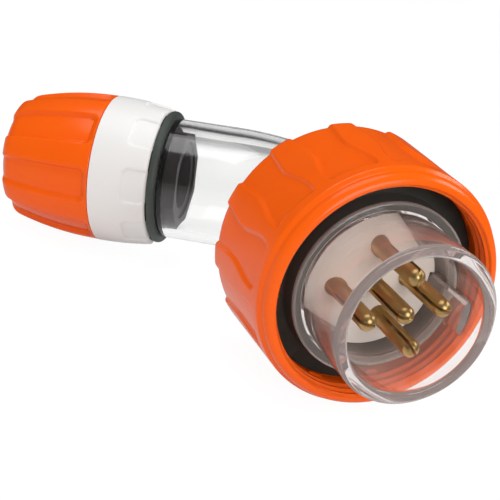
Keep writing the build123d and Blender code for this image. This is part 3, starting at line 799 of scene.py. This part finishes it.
def front_housing():
    """Clear shroud with its key, the gasket's bead, the flange, the spigot and the pin base's ledge."""
    rim = HOUSING.high
    bead_back = GASKET.high
    bead_front = bead_back + BEAD_THICKNESS
    flange_front = GASKET.low
    flange_back = flange_front - FLANGE_THICKNESS
    outline = [(station, SHROUD_BORE_R) for station in rows(BASE.low, rim - SHROUD_RIM_ROUND, HOUSING_ROW)]
    outline += fillet(outline[0], (rim, SHROUD_BORE_R), (rim, SHROUD_R), SHROUD_RIM_ROUND)
    outline += fillet((rim, SHROUD_BORE_R), (rim, SHROUD_R), (bead_front, SHROUD_R), SHROUD_RIM_ROUND)
    outline += [(bead_front, SHROUD_R)]
    outline += fillet((bead_front, SHROUD_R), (bead_front, BEAD_R), (bead_back, BEAD_R), BEAD_ROUND)
    outline += fillet((bead_front, BEAD_R), (bead_back, BEAD_R), (bead_back, SHROUD_ROOT_R), BEAD_ROUND)
    outline += [
        (bead_back, SHROUD_ROOT_R),
        (flange_front, SHROUD_ROOT_R),
        (flange_front, GASKET.outer),
        (flange_back, GASKET.outer),
        (flange_back, SPIGOT_R),
        (HOUSING.low, SPIGOT_R),
        (HOUSING.low, SPIGOT_BORE_R),
        (CARRIER.high, SPIGOT_BORE_R),
        (CARRIER.high, LEDGE_R),
        (BASE.low, LEDGE_R),
    ]
    bm = turned(outline, PLUG, HOUSING_STEPS)
    raise_key(bm, rim - KEY_SHORT)
    made = piece("front_housing_clear", bm, "plug", "front_housing", WARM_CLEAR)

    def milky(station, radius):
        on_rim = station > rim - SHROUD_RIM_ROUND
        on_bead = bead_back < station <= bead_front and radius > SHROUD_R + BEAD_ROUND
        on_key = station > BASE.high and radius < SHROUD_BORE_R - KEY_EDGE
        return on_rim or on_bead or on_key

    second_finish(made, MILKY_CLEAR, PLUG, milky)


def elbow_body():
    """Clear elbow: flanged neck, cone, bend and a tube with a bored end wall, which is painted dark inside
    as shade.
    """
    front = FLANGE_THICKNESS - GASKET.low
    flange_back = front + ELBOW_FLANGE
    neck_end = flange_back + NECK_LENGTH
    end = SPINE.station(SEAL.low)
    stations = rows(neck_end, SPINE.bend_start, ELBOW_ROW)
    stations += rows(SPINE.bend_start, SPINE.bend_end, ELBOW_ROW)

    def wall(neck_r, tube_r):
        """Outline of the cone and the bend."""
        shares = [smoothstep(neck_end, SPINE.bend_start, station) for station in stations]
        return [(station, neck_r + (tube_r - neck_r) * share) for station, share in zip(stations, shares)]

    outline = [(front, GASKET.outer), (flange_back, GASKET.outer), (flange_back, NECK_R)]
    outline += wall(NECK_R, TUBE_R) + [(SPINE.bend_end, TUBE_R)]
    outline += fillet(outline[-1], (end, TUBE_R), (end, SEAL.inner), END_ROUND, steps=4)
    outline += [(end, SEAL.inner), (end - END_WALL, SEAL.inner), (end - END_WALL, TUBE_BORE_R)]
    outline += [(SPINE.bend_end, TUBE_BORE_R)] + wall(NECK_BORE_R, TUBE_BORE_R)[::-1]
    outline += [(front, NECK_BORE_R)]
    bm = swept(outline, SPINE, ELBOW_STEPS)
    made = piece("elbow_body_clear", bm, "plug", "elbow_body", CLEAR)

    # The inner faces of the tube's end wall are painted dark: painted shade at the elbow's end.
    def painted_shade_end_wall(station, radius):
        return station > SEAL.low - END_WALL - END_ROUND and radius < TUBE_BORE_R

    second_finish(made, DARK_AND_PAINTED_SHADE, GLAND, painted_shade_end_wall)


def gland_locknut():
    """Dark locknut inside the elbow, shorter than its node."""
    bm = node_copy("gland_locknut")
    for vert in bm.verts:
        station, radius, azimuth = GLAND.measure(vert.co)
        station = LOCKNUT.high + (station - LOCKNUT.high) * LOCKNUT_SHARE
        vert.co = GLAND.place(station, radius, azimuth)
    piece("gland_locknut_short", bm, "plug", "gland_locknut", DARK_AND_PAINTED_SHADE)


def plain_pieces():
    """The pieces whose CAD form is right: merged and smoothly shaded copies with their finishes."""
    finishes = {
        "black_rubber": BLACK,
        "brass": BRASS,
        "screw_steel": STEEL,
        "grey_plastic": GREY,
        "pale_plastic": PALE,
    }
    bodies = frame["record"]["behaviour"]["bodies"]
    body_of = {node: body for body, nodes in bodies.items() for node in nodes}
    for subpart in frame["record"]["subparts"]:
        node = subpart["node"]
        slot = subpart["material_slot"]
        if slot in finishes:
            piece(node + "_smooth", node_copy(node), body_of[node], node, finishes[slot])


lock_ring()
gland_nut()
gland_collar()
front_housing()
elbow_body()
gland_locknut()
plain_pieces()


# Floor, surroundings, lamps and camera


def rays(finish):
    """Whether a ray comes from the camera, from a shiny surface or through clear plastic."""
    seen = finish.node("ShaderNodeLightPath", output="Is Camera Ray")
    outputs = seen.socket.node.outputs
    through = Value(finish, outputs["Is Transmission Ray"])
    mirrored = Value(finish, outputs["Is Glossy Ray"]) * (1 - through)
    return seen, mirrored, through


def view_back():
    """Direction from the target to the camera."""
    azimuth = math.radians(VIEW_AZIMUTH)
    elevation = math.radians(VIEW_ELEVATION)
    level = math.cos(elevation)
    return Vector((math.sin(azimuth) * level, -math.cos(azimuth) * level, math.sin(elevation)))


def floor_finish():
    """White that keeps a faint shadow. Shiny and clear surfaces show a pool of it behind the part."""
    finish = Finish("white_floor")
    matt = finish.node("ShaderNodeBsdfDiffuse", sockets={"Color": (FLOOR_GREY, FLOOR_GREY, FLOOR_GREY, 1)})
    middle = view_back() * -POOL_BEHIND * MM
    middle.z = CAD_BOX[0].z
    sockets = {0: finish.place(), 1: middle}
    away = finish.node("ShaderNodeVectorMath", {"operation": "DISTANCE"}, sockets, "Value")
    pool = finish.fade(away, POOL_NEAR * MM, POOL_FAR * MM, 1.0, POOL_EDGE)
    seen, mirrored, through = rays(finish)
    level = FLOOR_GLOW * (seen + (through + FLOOR_MIRRORED * mirrored) * pool)
    glow = finish.node("ShaderNodeEmission", sockets={"Color": level, "Strength": 1.0})
    share = FLOOR_GLOW_SHARE * (seen + mirrored + through)
    return finish.surface(finish.node("ShaderNodeMixShader", sockets={0: share, 1: matt, 2: glow}))


def floor():
    """Wide floor just under the part."""
    bm = bmesh.new()
    bmesh.ops.create_grid(bm, x_segments=1, y_segments=1, size=FLOOR_SIZE / 2 * MM)
    bmesh.ops.translate(bm, verts=bm.verts, vec=(0, 0, CAD_BOX[0].z - FLOOR_GAP * MM))
    mesh = bpy.data.meshes.new("floor")
    bm.to_mesh(mesh)
    bm.free()
    mesh.materials.append(floor_finish())
    made = bpy.data.objects.new("floor", mesh)
    bpy.context.scene.collection.objects.link(made)


def world():
    """White surroundings behind the part, dimmer ones at the sides and at the viewer's end."""
    made = bpy.data.worlds.new("studio")
    made.use_nodes = True
    bpy.context.scene.world = made
    finish = Finish("studio", made.node_tree)
    way = finish.node("ShaderNodeTexCoord", output="Generated")
    sockets = {0: way, 1: -view_back()}
    ahead = finish.node("ShaderNodeVectorMath", {"operation": "DOT_PRODUCT"}, sockets, "Value")
    backdrop = finish.fade(ahead, SIDES_TO, BACKDROP_FROM, SIDES, 1.0)
    seen, mirrored, through = rays(finish)
    level = AMBIENT + (1 - AMBIENT) * seen + (MIRRORED - AMBIENT) * mirrored
    level = level + (backdrop - AMBIENT) * through
    background = finish.node("ShaderNodeBackground", sockets={"Color": (1, 1, 1, 1), "Strength": level})
    finish.node("ShaderNodeOutputWorld", sockets={"Surface": background})


def lamp(name, place, target, size, power):
    """Soft rectangular lamp that faces a target."""
    data = bpy.data.lights.new(name, "AREA")
    data.shape = "RECTANGLE"
    data.size = size[0] * MM
    data.size_y = size[1] * MM
    data.energy = power
    made = bpy.data.objects.new(name, data)
    made.location = Vector(place) * MM
    made.rotation_euler = (Vector(target) - Vector(place)).to_track_quat("-Z", "Y").to_euler()
    bpy.context.scene.collection.objects.link(made)


def camera():
    """Camera at the photograph's viewing angle."""
    data = bpy.data.cameras.new("camera")
    data.sensor_width = SENSOR
    data.lens = SENSOR * FOCAL_PIXELS / FRAME_PIXELS
    data.clip_start = CLIP_START * MM
    made = bpy.data.objects.new("camera", data)
    back = view_back()
    roll = Matrix.Rotation(math.radians(VIEW_ROLL), 4, "Z")
    turn = (-back).to_track_quat("-Z", "Y").to_matrix().to_4x4() @ roll
    made.matrix_world = Matrix.Translation((Vector(VIEW_TARGET) + back * VIEW_DISTANCE) * MM) @ turn
    bpy.context.scene.collection.objects.link(made)
    bpy.context.scene.camera = made


floor()
world()
lamp("top_lamp", place=(-150, -250, 800), target=(-20, -20, 0), size=(600, 600), power=2.4)
lamp("front_lamp", place=(600, 50, 250), target=(-20, -20, 0), size=(400, 300), power=1.6)
lamp("right_lamp", place=(50, 430, 400), target=(0, 0, 0), size=(320, 200), power=0.8)
camera()
bpy.context.scene.view_settings.view_transform = "Standard"
